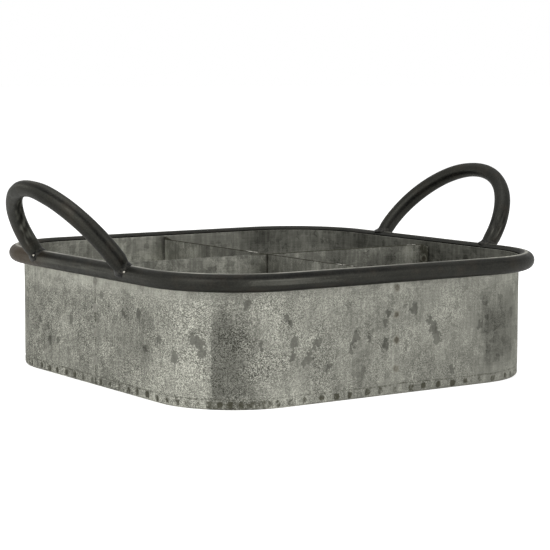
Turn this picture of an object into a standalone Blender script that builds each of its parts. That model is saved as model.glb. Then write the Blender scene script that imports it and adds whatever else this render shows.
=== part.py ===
"""A square galvanised tray with four compartments, a slit tube rim and two tube handles.

The tray stands on its bottom hem at z = 0, with the origin under its middle.
The handles stand on the -X and +X sides. Every size is in metres.
"""

import math

import bmesh
import bpy
from mathutils import Matrix, Vector
from mathutils.geometry import interpolate_bezier

# Clearances
GAP = 0.0003          # between pieces that touch or hold each other
CUT_OVER = 0.0010     # how far every cutter runs past what it cuts
MERGE = 0.000001      # points this close are one point

# Galvanised sheet, used for the band, the base and the dividers
SHEET = 0.0008

# Side band: one strip bent to a rounded square, its ends butted on the -X side
BAND_SIDE = 0.2600    # over the outer faces
BAND_CORNER = 0.0526  # outer corner radius
WALL_TOP = 0.0762     # top edge of the strip
HEM_WIDTH = 0.0038    # from the wall's outer face to the turned-up lip's far face
HEM_LIP = 0.0048      # height of that lip
HEM_BEND = 0.0020     # outer radius at the foot of the wall
LIP_BEND = 0.0006     # outer radius at the foot of the lip
BEND_STEPS = 4
CORNER_STEPS = 10

# Base pan: a plate with its edge turned down into the hem
BASE_TOP = 0.0068
BASE_BEND = 0.0012

# Crimp dents that lock the hem onto the base's flange
CRIMP_PITCH = 0.01104
CRIMP_WIDTH = 0.0032
CRIMP_HEIGHT = 0.0036
CRIMP_DEPTH = 0.00045
CRIMP_MIDDLE = 0.0031   # height of a dent's middle above the floor
CRIMP_DRIFT = 0.0012    # how far a hand-fed dent strays from the even pitch
CRIMP_DRIFT_TURNS = (2.4, 4.1)

# Rim: a tube slit along its inner side, where the band's top edge stands
RIM_RADIUS = 0.00537
RIM_WALL = 0.0012
RIM_SLIT = 0.0069
RIM_DROP = 0.0028       # from the band's top edge down to the tube's middle
RIM_OUTER_STEPS = 10
RIM_INNER_STEPS = 6

# Dividers: two sheets halved into each other, with a tab folded at each end
DIVIDER_TOP = 0.0740
TAB_WIDTH = 0.0075      # from the divider's middle plane to the tab's edge
TAB_FOLD = 0.0012       # fold radius at the middle of the sheet
TAB_DROP = 0.0016       # how far the tab's outer edge is trimmed below the top
FOLD_STEPS = 3
EAR_RISE = 0.0018       # corner left standing at the back wall
EAR_RUN = 0.0095

# Spot welds: a row of fused nuggets through the band and each tab
WELD_RADIUS = 0.0017
WELD_SINK = 0.0002      # dip of each nugget below the outer face
WELD_HEIGHT_SHARES = (0.206, 0.432, 0.633, 0.843)   # of the wall's height
WELD_SIDES = 10

# Handles: tubes bent by hand, a little unlike, standing on the rim and leaning out
HANDLE_RADIUS = 0.0051
HANDLE_WALL = 0.0012
LEFT_HALF_SPAN = 0.0532     # from the arch's middle to a foot
RIGHT_HALF_SPAN = 0.0548
LEFT_REACH = 0.0602         # from the rim's middle to the crown, along the lean
RIGHT_REACH = 0.0649
LEG_SPLAY = math.radians(16.0)
LEG_PULL = 0.0248           # how far a leg holds its first direction
LEFT_CROWN_PULL = 0.0340    # how far the crown stays level to each side
RIGHT_CROWN_PULL = 0.0388
LEFT_LEANS = (math.radians(36.8), math.radians(36.8))    # at the foot, at the crown
RIGHT_LEANS = (math.radians(37.4), math.radians(40.2))
LEFT_SHIFT = 0.0049         # middle of the arch along the side
RIGHT_SHIFT = -0.0026
LEG_POINTS = 15
TUBE_SIDES = 10

# Weld beads: a puddle of weld metal round each handle foot
LEFT_BEADS = (0.0026, 0.0018)     # past the tube, along the rim and away from the arch's
RIGHT_BEADS = (0.0014, 0.0030)    # middle, at the -Y foot and at the +Y foot
BEAD_INSIDE = 0.0016        # past the tube, along the rim and under the arch
BEAD_ACROSS = 0.0014        # past the tube, across the rim
BEAD_RISE = 0.0050          # half height along the handle
BEAD_SINK = 0.0010          # middle of the puddle below the rim's surface
BEAD_SEGMENTS = 14
BEAD_RINGS = 9

# Sizes that follow from those above
HALF_SIDE = BAND_SIDE / 2
RIM_OFFSET = math.sqrt(RIM_RADIUS**2 - (RIM_SLIT / 2) ** 2) + GAP
RIM_MIDDLE = WALL_TOP - RIM_DROP
WELD_OFFSET = TAB_WIDTH / 2
SEAM_Y = -WELD_OFFSET
DIVIDER_BOTTOM = BASE_TOP + GAP
HALVING = (DIVIDER_BOTTOM + DIVIDER_TOP) / 2

for old in list(bpy.data.objects):
    bpy.data.objects.remove(old, do_unlink=True)


def metal(name, colour, roughness, metallic):
    """A Principled material in one colour."""
    material = bpy.data.materials.new(name)
    material.use_nodes = True
    shader = material.node_tree.nodes["Principled BSDF"]
    shader.inputs["Base Color"].default_value = (*colour, 1.0)
    shader.inputs["Roughness"].default_value = roughness
    shader.inputs["Metallic"].default_value = metallic
    material.diffuse_color = (*colour, 1.0)
    return material


def add_object(name, bm, material=None):
    """Merges, orients and stores a bmesh as a new object."""
    bmesh.ops.remove_doubles(bm, verts=bm.verts, dist=MERGE)
    bmesh.ops.recalc_face_normals(bm, faces=bm.faces)
    mesh = bpy.data.meshes.new(name)
    bm.to_mesh(mesh)
    bm.free()
    obj = bpy.data.objects.new(name, mesh)
    if material:
        mesh.materials.append(material)
        mesh.shade_smooth()
        mesh.set_sharp_from_angle(angle=math.radians(35))
    bpy.context.scene.collection.objects.link(obj)
    return obj


def add_cutter(name, bm):
    """A closed shape that only cuts others."""
    cutter = add_object(name, bm)
    cutter.hide_render = True
    cutter.display_type = "WIRE"
    return cutter


def cut(obj, cutter):
    modifier = obj.modifiers.new(cutter.name, "BOOLEAN")
    modifier.operation = "DIFFERENCE"
    modifier.solver = "EXACT"
    modifier.object = cutter


def sweep(bm, profile, closed, start, heading, moves):
    """Carries a profile of (left, up) points along runs and turns.

    Each move is (length, None) for a straight run or (angle, (radius, steps))
    for a turn, to the left where the angle is positive.
    """
    place = Matrix.Translation(start) @ Matrix.Rotation(heading, 4, "Z")
    verts = [bm.verts.new(place @ Vector((0, left, up))) for left, up in profile]
    ends = verts[1:] + verts[:1] if closed else verts[1:]
    edges = [bm.edges.new(pair) for pair in zip(verts, ends)]
    position = Vector(start)
    for amount, bend in moves:
        if bend is None:
            ahead = Vector((math.cos(heading), math.sin(heading), 0)) * amount
            made = bmesh.ops.extrude_edge_only(bm, edges=edges)["geom"]
            moved = {item for item in made if isinstance(item, bmesh.types.BMVert)}
            bmesh.ops.translate(bm, verts=list(moved), vec=ahead)
            edges = [
                item for item in made
                if isinstance(item, bmesh.types.BMEdge) and set(item.verts) <= moved
            ]
            position += ahead
        else:
            radius, steps = bend
            left = Vector((-math.sin(heading), math.cos(heading), 0))
            centre = position + left * math.copysign(radius, amount)
            last = bmesh.ops.spin(
                bm, geom=edges, cent=centre, axis=(0, 0, 1), angle=amount, steps=steps
            )["geom_last"]
            edges = [item for item in last if isinstance(item, bmesh.types.BMEdge)]
            position = centre + Matrix.Rotation(amount, 3, "Z") @ (position - centre)
            heading += amount


def round_square(inset, opening):
    """Start and moves for one trip round the tray, `inset` in from the band's outer face.

    The trip starts at the band's seam, runs towards -Y and keeps the tray's inside on
    its left. It stops `opening` short of its start.
    """
    radius = BAND_CORNER - inset
    straight = BAND_SIDE - 2 * BAND_CORNER
    first = straight / 2 + SEAM_Y
    corner = (math.pi / 2, (radius, CORNER_STEPS))
    moves = [(first, None), corner, (straight, None), corner, (straight, None), corner]
    moves += [(straight, None), corner, (straight - first - opening, None)]
    return (inset - HALF_SIDE, SEAM_Y, 0), moves


def fill_open_ends(bm):
    open_edges = [edge for edge in bm.edges if edge.is_boundary]
    bmesh.ops.holes_fill(bm, edges=open_edges, sides=0)


def arc(radius, first, last, steps):
    angles = [first + (last - first) * step / steps for step in range(steps + 1)]
    return [(radius * math.cos(angle), radius * math.sin(angle)) for angle in angles]


def shifted(points, left, up):
    return [(left + point[0], up + point[1]) for point in points]


def place_on_wall(distance):
    """Matrix at a distance round the band's outer face, its +X axis pointing inwards.

    The distance is counted from the seam, towards -Y.
    """
    straight = BAND_SIDE - 2 * BAND_CORNER
    quarter = BAND_CORNER * math.pi / 2
    along = distance + straight / 2 - SEAM_Y
    side, along = divmod(along, straight + quarter)
    turn = Matrix.Rotation(side * math.pi / 2, 4, "Z")
    if along <= straight:
        local = Matrix.Translation((-HALF_SIDE, straight / 2 - along, 0))
    else:
        angle = (along - straight) / BAND_CORNER
        pivot = Matrix.Translation((-straight / 2, -straight / 2, 0))
        radius = Matrix.Translation((-BAND_CORNER, 0, 0))
        local = pivot @ Matrix.Rotation(angle, 4, "Z") @ radius
    return turn @ local


def crimp_cutter():
    """One small block for each crimp dent, round the foot of the band."""
    around = 4 * (BAND_SIDE - 2 * BAND_CORNER) + 2 * math.pi * BAND_CORNER
    count = round(around / CRIMP_PITCH)
    bm = bmesh.new()
    block = Matrix.Diagonal((CUT_OVER + CRIMP_DEPTH, CRIMP_WIDTH, CRIMP_HEIGHT, 1))
    for number in range(count):
        first, second = (math.sin(number * turn) for turn in CRIMP_DRIFT_TURNS)
        drift = CRIMP_DRIFT * (first + second) / 2
        place = place_on_wall((number + 1 / 2) * around / count + drift)
        middle = Matrix.Translation(((CRIMP_DEPTH - CUT_OVER) / 2, 0, CRIMP_MIDDLE))
        bmesh.ops.create_cube(bm, size=1, matrix=place @ middle @ block)
    return add_cutter("crimp_cutter", bm)


def weld_places(quarter_turn):
    """Where the nuggets of one divider end stand, with +X pointing out of the wall.

    Without a turn this is the +X end of the crosswise divider, its tab towards -Y.
    """
    turn = Matrix.Rotation(quarter_turn * math.pi / 2, 4, "Z")
    offset = -WELD_OFFSET if quarter_turn in (0, 1) else WELD_OFFSET
    return [
        turn @ Matrix.Translation((HALF_SIDE, offset, share * WALL_TOP))
        for share in WELD_HEIGHT_SHARES
    ]


def add_plug(bm, place, radius, inner, outer):
    """A closed cylinder along the place's X axis, from `inner` to `outer`."""
    upright = Matrix.Rotation(math.pi / 2, 4, "Y")
    middle = Matrix.Translation(((inner + outer) / 2, 0, 0))
    bmesh.ops.create_cone(
        bm, cap_ends=True, segments=WELD_SIDES, radius1=radius, radius2=radius,
        depth=outer - inner, matrix=place @ middle @ upright,
    )


def weld_bore_cutter(name, quarter_turns):
    bm = bmesh.new()
    for quarter_turn in quarter_turns:
        for place in weld_places(quarter_turn):
            reach = 2 * SHEET + GAP + CUT_OVER
            add_plug(bm, place, WELD_RADIUS + GAP, -reach, CUT_OVER)
    return add_cutter(name, bm)


def spot_welds(material):
    """The fused nuggets that hold the divider ends to the band, one object each."""
    bm = bmesh.new()
    add_plug(bm, Matrix.Identity(4), WELD_RADIUS, -(2 * SHEET + GAP), -WELD_SINK)
    mesh = None
    for quarter_turn, side in enumerate(("right", "back", "left", "front")):
        for number, place in enumerate(weld_places(quarter_turn), 1):
            name = f"spot_weld_{side}_{number}"
            if mesh is None:
                weld = add_object(name, bm, material)
                mesh = weld.data
            else:
                weld = bpy.data.objects.new(name, mesh)
                bpy.context.scene.collection.objects.link(weld)
            weld.matrix_world = place


def side_band(material):
    """The wall, with its lower edge turned in and up round the base's flange."""
    inner = HEM_WIDTH - SHEET
    left, down, right = math.pi, math.pi * 3 / 2, math.pi * 2
    profile = [(0, WALL_TOP)]
    profile += shifted(arc(HEM_BEND, left, down, BEND_STEPS), HEM_BEND, HEM_BEND)
    lip = arc(LIP_BEND, down, right, BEND_STEPS // 2)
    profile += shifted(lip, HEM_WIDTH - LIP_BEND, LIP_BEND)
    profile += [(HEM_WIDTH, HEM_LIP), (inner, HEM_LIP), (inner, SHEET)]
    bend = arc(HEM_BEND - SHEET, down, left, BEND_STEPS)
    profile += shifted(bend, HEM_BEND, HEM_BEND) + [(SHEET, WALL_TOP)]
    start, moves = round_square(0, GAP)
    bm = bmesh.new()
    sweep(bm, profile, True, start, -math.pi / 2, moves)
    fill_open_ends(bm)
    band = add_object("side_band", bm, material)
    cut(band, crimp_cutter())
    cut(band, weld_bore_cutter("band_weld_bores", range(4)))


def base_pan(material):
    """The floor of the compartments, with its flange turned down inside the hem."""
    inset = SHEET + GAP
    bend = shifted(
        arc(BASE_BEND, math.pi / 2, math.pi, 2), BASE_BEND, BASE_TOP - BASE_BEND
    )
    profile = bend + [(0, HEM_BEND), (SHEET, HEM_BEND)]
    profile += [(SHEET, BASE_TOP - BASE_BEND), (BASE_BEND, BASE_TOP - SHEET)]
    start, moves = round_square(inset, 0)
    bm = bmesh.new()
    sweep(bm, profile, False, start, -math.pi / 2, moves)
    bmesh.ops.remove_doubles(bm, verts=bm.verts, dist=MERGE)
    fill_open_ends(bm)
    add_object("base_pan", bm, material)


def rim_tube(material):
    """The slit tube round the band's top edge."""
    lip = math.asin(RIM_SLIT / 2 / RIM_RADIUS)
    full = 2 * math.pi - lip
    profile = arc(RIM_RADIUS, lip, full, RIM_OUTER_STEPS)
    profile += arc(RIM_RADIUS - RIM_WALL, full, lip, RIM_INNER_STEPS)
    start, moves = round_square(-RIM_OFFSET, 0)
    bm = bmesh.new()
    sweep(bm, shifted(profile, 0, RIM_MIDDLE), True, start, -math.pi / 2, moves)
    add_object("rim_tube", bm, material)


def divider(name, material, turn, ear_rise, slot_from_top):
    """One dividing sheet along X, turned about Z, its end tabs folded towards -Y."""
    reach = HALF_SIDE - SHEET - GAP - SHEET / 2
    half = SHEET / 2
    profile = [(-half, DIVIDER_BOTTOM), (half, DIVIDER_BOTTOM)]
    profile += [(half, DIVIDER_TOP), (-half, DIVIDER_TOP)]
    tab = TAB_WIDTH - TAB_FOLD
    web = 2 * (reach - TAB_FOLD)
    fold = (-math.pi / 2, (TAB_FOLD, FOLD_STEPS))
    moves = [(tab, None), fold, (web - EAR_RUN, None), (EAR_RUN, None), fold, (tab, None)]
    bm = bmesh.new()
    sweep(bm, profile, True, (-reach, -TAB_WIDTH, 0), math.pi / 2, moves)
    bmesh.ops.remove_doubles(bm, verts=bm.verts, dist=MERGE)
    fill_open_ends(bm)
    for vert in bm.verts:
        if vert.co.z < DIVIDER_TOP - MERGE:
            continue
        if vert.co.y < -TAB_WIDTH + MERGE:
            vert.co.z -= TAB_DROP
        elif vert.co.x > reach - TAB_FOLD - MERGE:
            vert.co.z += ear_rise
    sheet = add_object(name, bm, material)
    sheet.rotation_euler.z = turn
    slot = bmesh.new()
    end = DIVIDER_TOP + CUT_OVER if slot_from_top else DIVIDER_BOTTOM - CUT_OVER
    stop = HALVING - GAP / 2 if slot_from_top else HALVING + GAP / 2
    size = Matrix.Diagonal((SHEET + 2 * GAP, SHEET + 2 * CUT_OVER, abs(end - stop), 1))
    middle = Matrix.Translation((0, 0, (end + stop) / 2))
    bmesh.ops.create_cube(slot, size=1, matrix=middle @ size)
    cutter = add_cutter(name + "_slot", slot)
    cutter.rotation_euler.z = turn
    cut(sheet, cutter)
    return sheet


def handle_frames(side, half_span, reach, crown_pull, leans, shift):
    """Matrices along a handle's middle line, from its -Y foot to its +Y foot.

    Each has +Z along the tube and +X out of the arch's face. The arch is drawn
    flat, as (along the side, up the lean), and then curls by the two leans.
    """
    foot_lean, crown_lean = leans
    foot = Vector((half_span, 0))
    first = foot + LEG_PULL * Vector((math.sin(LEG_SPLAY), math.cos(LEG_SPLAY)))
    crown = Vector((0, reach))
    second = crown + Vector((crown_pull, 0))
    leg = [Vector(point[:2]) for point in interpolate_bezier(
        foot.to_3d(), first.to_3d(), second.to_3d(), crown.to_3d(), LEG_POINTS)]
    flat = [Vector((-point.x, point.y)) for point in leg] + leg[-2::-1]
    curl = (crown_lean - foot_lean) / reach
    points = []
    for along, up in flat:
        lean = foot_lean + curl * up
        half_turn = (lean - foot_lean) / 2
        chord = up * math.sin(half_turn) / half_turn if half_turn else up
        out = chord * math.sin(foot_lean + half_turn)
        rise = chord * math.cos(foot_lean + half_turn)
        x = side * (HALF_SIDE + RIM_OFFSET + out)
        points.append((Vector((x, shift + along, RIM_MIDDLE + rise)), lean))
    frames = []
    for number, (point, lean) in enumerate(points):
        before = points[max(number - 1, 0)][0]
        after = points[min(number + 1, len(points) - 1)][0]
        tangent = (after - before).normalized()
        face = Vector((side * math.cos(lean), 0, -math.sin(lean)))
        face = (face - face.dot(tangent) * tangent).normalized()
        across = tangent.cross(face)
        turn = Matrix((face, across, tangent)).transposed().to_4x4()
        frames.append(Matrix.Translation(point) @ turn)
    return frames


def add_tube(bm, frames, radius):
    """Circles along the frames, bridged to a tube with open ends; returns its end loops."""
    loops = []
    for frame in frames:
        made = bmesh.ops.create_circle(
            bm, cap_ends=False, segments=TUBE_SIDES, radius=radius, matrix=frame
        )
        loops.append(list({edge for vert in made["verts"] for edge in vert.link_edges}))
    for loop, following in zip(loops, loops[1:]):
        bmesh.ops.bridge_loops(bm, edges=loop + following)
    return loops[0], loops[-1]


def rim_cutter(name):
    """A rod along both straight sides under the handles, one gap larger than the rim."""
    bm = bmesh.new()
    lying = Matrix.Rotation(math.pi / 2, 4, "X")
    for side in (-1, 1):
        place = Matrix.Translation((side * (HALF_SIDE + RIM_OFFSET), 0, RIM_MIDDLE))
        bmesh.ops.create_cone(
            bm, cap_ends=True, segments=4 * TUBE_SIDES, radius1=RIM_RADIUS + GAP,
            radius2=RIM_RADIUS + GAP, depth=BAND_SIDE, matrix=place @ lying,
        )
    return add_cutter(name, bm)


def handle(name, frames, rim, material):
    """A hollow bent tube whose feet are coped to sit on the rim."""
    bm = bmesh.new()
    outer_ends = add_tube(bm, frames, HANDLE_RADIUS)
    inner_ends = add_tube(bm, frames, HANDLE_RADIUS - HANDLE_WALL)
    for outer, inner in zip(outer_ends, inner_ends):
        bmesh.ops.bridge_loops(bm, edges=outer + inner)
    cut(add_object(name, bm, material), rim)


def weld_bead(name, frames, away, spread, rim, material):
    """The puddle of weld round one foot; the frames run up from that foot.

    It stands square on the rim where the leg meets it. `away` points along Y,
    from the arch's middle to this foot.
    """
    leg = frames[0].to_3x3() @ Vector((0, 0, 1))
    slope = math.hypot(leg.x, leg.z)
    along = HANDLE_RADIUS / slope + (spread + BEAD_INSIDE) / 2
    size = Matrix.Diagonal((HANDLE_RADIUS + BEAD_ACROSS, along, BEAD_RISE, 1))
    middle = frames[0].translation + leg * (RIM_RADIUS - BEAD_SINK) / slope
    middle.y += away * (spread - BEAD_INSIDE) / 2
    square = Matrix.Rotation(math.atan2(leg.x, leg.z), 4, "Y")
    # Half a facet round, so that no edge of the puddle lies on an edge of the tube
    half_facet = Matrix.Rotation(math.pi / BEAD_SEGMENTS, 4, "Z")
    bm = bmesh.new()
    bmesh.ops.create_uvsphere(
        bm, u_segments=BEAD_SEGMENTS, v_segments=BEAD_RINGS, radius=1,
        matrix=Matrix.Translation(middle) @ square @ size @ half_facet,
    )
    bead = add_object(name, bm, material)
    core = bmesh.new()
    for end in add_tube(core, frames, HANDLE_RADIUS + GAP):
        bmesh.ops.holes_fill(core, edges=end, sides=0)
    cut(bead, add_cutter(name + "_core", core))
    cut(bead, rim)


def bead_frames(frames):
    """The stretch of a handle that its bead surrounds, and one point more."""
    stretch = [frames[0]]
    for frame in frames[1:]:
        stretch.append(frame)
        if (frame.translation - frames[0].translation).length > 2 * BEAD_RISE + RIM_RADIUS:
            break
    return stretch


def turned_end_for_end(frames):
    """The same frames read from the other foot, with +Z still up the tube."""
    flip = Matrix.Rotation(math.pi, 4, "X")
    return [frame @ flip for frame in reversed(frames)]


galvanised = metal("galvanised_sheet", (0.30, 0.30, 0.28), 0.45, 0.85)
iron = metal("blackened_iron", (0.045, 0.045, 0.042), 0.50, 0.60)
weld = metal("weld_metal", (0.10, 0.10, 0.09), 0.40, 0.80)

side_band(galvanised)
base_pan(galvanised)
rim_tube(iron)

crosswise = divider("divider_crosswise", galvanised, 0, 0, True)
lengthwise = divider("divider_lengthwise", galvanised, math.pi / 2, EAR_RISE, False)
cut(crosswise, weld_bore_cutter("crosswise_weld_bores", (0, 2)))
cut(lengthwise, weld_bore_cutter("lengthwise_weld_bores", (1, 3)))
spot_welds(weld)

rim_bed = rim_cutter("rim_bed")
left_arch = handle_frames(
    -1, LEFT_HALF_SPAN, LEFT_REACH, LEFT_CROWN_PULL, LEFT_LEANS, LEFT_SHIFT
)
right_arch = handle_frames(
    1, RIGHT_HALF_SPAN, RIGHT_REACH, RIGHT_CROWN_PULL, RIGHT_LEANS, RIGHT_SHIFT
)
for label, arch, spreads in (
    ("left", left_arch, LEFT_BEADS),
    ("right", right_arch, RIGHT_BEADS),
):
    handle("handle_" + label, arch, rim_bed, iron)
    front, back = bead_frames(arch), bead_frames(turned_end_for_end(arch))
    weld_bead(f"weld_bead_{label}_front", front, -1, spreads[0], rim_bed, weld)
    weld_bead(f"weld_bead_{label}_back", back, 1, spreads[1], rim_bed, weld)
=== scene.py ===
"""The looks of the four-compartment galvanised tray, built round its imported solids."""

import bisect
import math
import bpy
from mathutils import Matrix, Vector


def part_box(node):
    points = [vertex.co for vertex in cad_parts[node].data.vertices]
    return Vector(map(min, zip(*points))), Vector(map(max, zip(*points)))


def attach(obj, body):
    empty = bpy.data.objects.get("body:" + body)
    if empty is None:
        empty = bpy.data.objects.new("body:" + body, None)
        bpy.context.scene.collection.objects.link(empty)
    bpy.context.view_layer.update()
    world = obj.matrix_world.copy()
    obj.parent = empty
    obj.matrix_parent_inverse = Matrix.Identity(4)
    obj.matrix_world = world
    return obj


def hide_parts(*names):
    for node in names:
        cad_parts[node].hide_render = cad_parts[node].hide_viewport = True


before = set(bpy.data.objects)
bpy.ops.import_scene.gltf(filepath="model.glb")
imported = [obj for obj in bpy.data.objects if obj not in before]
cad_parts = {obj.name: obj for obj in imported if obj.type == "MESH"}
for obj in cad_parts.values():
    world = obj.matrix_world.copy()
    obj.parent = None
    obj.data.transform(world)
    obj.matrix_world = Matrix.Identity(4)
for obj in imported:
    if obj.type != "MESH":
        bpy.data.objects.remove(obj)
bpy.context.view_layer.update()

from types import SimpleNamespace

import bmesh
import bpy
from mathutils import Matrix, Vector, noise
from mathutils.geometry import interpolate_bezier

MM = 0.001

# Camera: the photograph's own viewpoint, solved from the tray's outline
CAMERA_PLACE = (-0.67696, -0.98250, 0.19074)
CAMERA_TURN = math.radians(34.80)
CAMERA_DOWN = math.radians(6.247)
CAMERA_ROLL = math.radians(0.207)
CAMERA_LENS = 120.76

# Sizes read from the solids
band_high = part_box("side_band")[1]
rim_low, rim_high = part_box("rim_tube")
HALF_SIDE = band_high.x
WALL_TOP = band_high.z
RIM_RADIUS = (rim_high.z - rim_low.z) / 2
RIM_MIDDLE = (rim_high.z + rim_low.z) / 2
RIM_OFFSET = rim_high.x - HALF_SIDE - RIM_RADIUS

# Sheet and band
SHEET = 0.8 * MM
GAP = 0.3 * MM
BAND_CORNER = 52.6 * MM
STRAIGHT = 2 * (HALF_SIDE - BAND_CORNER)
QUARTER = BAND_CORNER * math.pi / 2
ROUND_TRIP = 4 * (STRAIGHT + QUARTER)
PAST_SEAM = 0.8           # share of the way round from which distances count back to the seam
TAB_WIDTH = 7.5 * MM
SEAM_Y = -TAB_WIDTH / 2
HEM_WIDTH = 3.8 * MM
HEM_LIP = 4.8 * MM
HEM_BEND = 2.0 * MM
LIP_BEND = 0.6 * MM
EDGE_ROUND = 0.15 * MM
COLUMN_STEP = 0.7 * MM
HEM_ROW_STEP = 0.6 * MM
HEM_ROWS_TOP = 8.0 * MM
WALL_ROW_STEP = 5.5 * MM
OIL_CAN = 0.25 * MM       # how far the flat sheet stands in and out
OIL_CAN_LENGTH = 75 * MM
HEM_LINE = 6.1 * MM       # faint groove where the wall closes over the base's bend
HEM_LINE_DEPTH = 0.16 * MM
HEM_LINE_WIDTH = 0.55 * MM

# Where the seam turns dark under the rim
SEAM_NOTCH = 66 * MM

# Crimp dents
CRIMP_PITCH = 11.04 * MM
CRIMP_HALF_WIDTH = 1.95 * MM
CRIMP_HALF_HEIGHT = 2.1 * MM
CRIMP_MIDDLE = 3.1 * MM
CRIMP_DEPTH = 0.55 * MM
CRIMP_DRIFT = 1.2 * MM
CRIMP_DRIFT_TURNS = (2.4, 4.1)
CRIMP_COUNT = round(ROUND_TRIP / CRIMP_PITCH)
# A plain and a corner crimp: how far the size strays and its turn from one crimp to the next,
# how far the height strays, how full of dirt it is, and how far that strays
PLAIN_CRIMP = (0.16, 4.1, 0.35 * MM, 0.76, 0.18)
CORNER_CRIMP = (0.10, 2.9, 0.2 * MM, 0.63, 0.14)
CRIMP_LIFT_TURN = 1.7
CRIMP_FILL_TURN = 5.3
# The crimps sit closer round each corner, and closer still as the bend goes on: where the
# first one sits past the corner's start, their first pitch, and what each next one loses
CORNER_CRIMP_COUNT = 11
CORNER_CRIMP_FIRST = 16.4 * MM
CORNER_CRIMP_PITCH = 7.1 * MM
CORNER_CRIMP_LOSS = 0.2 * MM
CORNER_CRIMP_FREE = 4.8 * MM    # no plain crimp comes nearer than this to a corner's

# Soot that fills the crimps at the front left corner
SOOT_MIDDLE = 128 * MM
SOOT_HALF_WIDTH = 20 * MM
SOOT_TOP = 5.6 * MM
# Thin dirt all over the hem, and in its groove
HEM_DIRT = 0.18
HEM_DIRT_TOP = 6 * MM
HEM_LINE_DIRT = 0.52

# How much each pattern counts in the zinc's mottling: clouds, streaks, scratches, crystal
# patches and small crystals, on the wall and on the sheets inside it
WALL_SHARES = (0.42, 0.32, 0.16, 0.10, 0.08)
INSIDE_SHARES = (1.0, 0.42, 0.16, 0.20, 0.10)

# Dark zinc flakes on the wall: distance from the seam, height and radius in mm
DARK_FLAKES = (
    (-72, 33, 1.6), (-61, 30, 1.3), (-60, 21, 1.8), (-48, 23, 1.2), (-31, 38, 1.8), (8, 57, 1.3),
    (34, 48, 1.5), (52, 50, 2.0), (59, 31, 1.7), (74, 38, 1.6), (88.5, 28, 1.9), (88, 31, 1.4),
    (101.5, 40, 2.4), (105, 38, 3.0), (107, 33, 2.2), (133, 61, 1.8), (158, 52, 1.2),
    (160, 49, 1.5), (163, 37, 2.3), (162, 32, 1.3), (162, 29, 1.7), (141, 37, 1.4),
    (180, 36, 2.3), (177, 33, 1.5), (174, 29, 1.9), (171, 26, 2.0), (188, 20, 1.3),
    (207, 37, 2.2), (205, 33, 1.5), (204, 28, 1.4), (217, 35, 1.2), (229, 31, 1.9),
    (231, 49, 1.6), (229, 44, 1.3), (245, 29, 1.5), (251, 51, 2.6), (263, 43, 1.8),
    (266, 38, 2.4), (269, 32, 2.4), (281, 11, 1.5), (303, 37, 1.5),
)
FLAKE_SQUAT = 0.72      # flakes stand 1 / 0.72 times as high as wide
# Soft darker and lighter clouds: distance, height, radius in mm, and change of grey
CLOUDS = (
    (124, 56, 14, -0.08), (90, 40, 26, 0.06), (146, 50, 16, 0.05), (40, 52, 9, -0.10),
    (60, 30, 12, -0.09), (253, 50, 9, -0.07), (185, 30, 12, -0.05), (212, 20, 8, -0.07),
)
CLOUD_SQUAT = 0.5
# Broad patches of darker or lighter grey, in mm: where each starts and ends round the wall
# and how softly, its bottom and top, and its change of grey
BROAD_PATCHES = (
    (112.5, 0.8, 137, 14, 6, 50, -0.27), (306.5, 2.0, 337, 6, 13, 54, -0.24),
    (50, 15, 111, 1.5, -20, 12, 0.13), (140, 6, 175, 12, -20, 12, 0.13),
)
SHEET_BOTTOM_SOFT = 5     # how softly they end at the bottom and at the top, in mm
SHEET_TOP_SOFT = 10
# Heights in mm between which the wall's top turns smoother and lighter, its band of painted light
# starts and the painted shade on its inside deepens
SMOOTHER_TOP_BETWEEN = (61.0, 69.0)
BAND_BETWEEN = (50.0, 66.0)
DARKENS_BETWEEN = (58.0, 69.0)
# How much painted light lifts the smooth band under the rim out of the rim's shadow: distance round
# the wall, and change of grey
PALE_BAND_STOPS = (
    (-190, 0.0), (-130, 0.16), (-90, 0.20), (68, 0.20), (85, 0.13), (108, 0.09), (114, 0.0),
    (190, 0.0), (215, 0.05), (285, 0.04), (310, 0.0),
)
# How strong the mottling is: distance round the wall, and strength
MOTTLE_STOPS = ((-190, 1.0), (75, 1.0), (95, 0.62), (165, 0.62), (200, 0.9), (400, 1.0))
# Where the sparkle is coarse: distance round the wall in mm, and strength
SPARKLE_STOPS = (
    (-190, 0.3), (-120, 1.0), (90, 0.95), (160, 0.9), (195, 0.55), (285, 0.5), (305, 0.3),
)
DIVIDER_SPARKLE = 0.30
# Painted light and shade on the wall's inside: distance round the wall, and change of grey
INSIDE_STOPS = (
    (380, 0.18), (440, 0.0), (480, 0.05), (540, 0.11), (580, 0.05), (625, 0.06), (655, 0.26),
    (720, 0.38), (745, 0.38), (790, 0.28), (840, 0.20),
)
# Painted shade added to that low on the wall, and more right under the rim
INSIDE_DARKEST = -0.18
INSIDE_UNDER_RIM = -0.40
DIVIDER_TOP = 74.0 * MM
# Painted glints on stretches of the dividers' top edges, in mm: middle and half length
TOP_PAINTED_GLINTS = ((0, 18, 7), (0, -80, 4.5), (0, -91, 1.2), (119.5, 0, 3.8))

# Rim
RIM_WALL = 1.2 * MM
RIM_SLIT = 6.9 * MM
RIM_STEP = 2.4 * MM
RIM_UNEVEN = 0.08 * MM
HIGHLIGHT_MIDDLE = -0.3 * MM    # the painted highlight line, inwards from the tube's top
HIGHLIGHT_HALF_WIDTH = 0.95 * MM
# Up from the tube's middle: the outer face's pale flank of painted highlight, the painted shade over
# it, and where the underside's painted shade starts; then how much darker these are, and the face
# towards the compartments, also painted shade
FLANK_MIDDLE = 0.6 * MM
FLANK_HALF_WIDTH = 1.9 * MM
SHADE_MIDDLE = 3.6 * MM
SHADE_HALF_WIDTH = 1.3 * MM
SHADE_TONE = 0.26
UNDERSIDE_TOP = -1.2 * MM
UNDERSIDE_FADE = 3.5 * MM
UNDERSIDE_TONE = 0.10
INNER_TONE = 0.12
# Rust and the deeper shade, in mm from the seam: middle and half width
RIM_RUST = (-95, 38)
RIM_DEEP = (170, 60)
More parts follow.
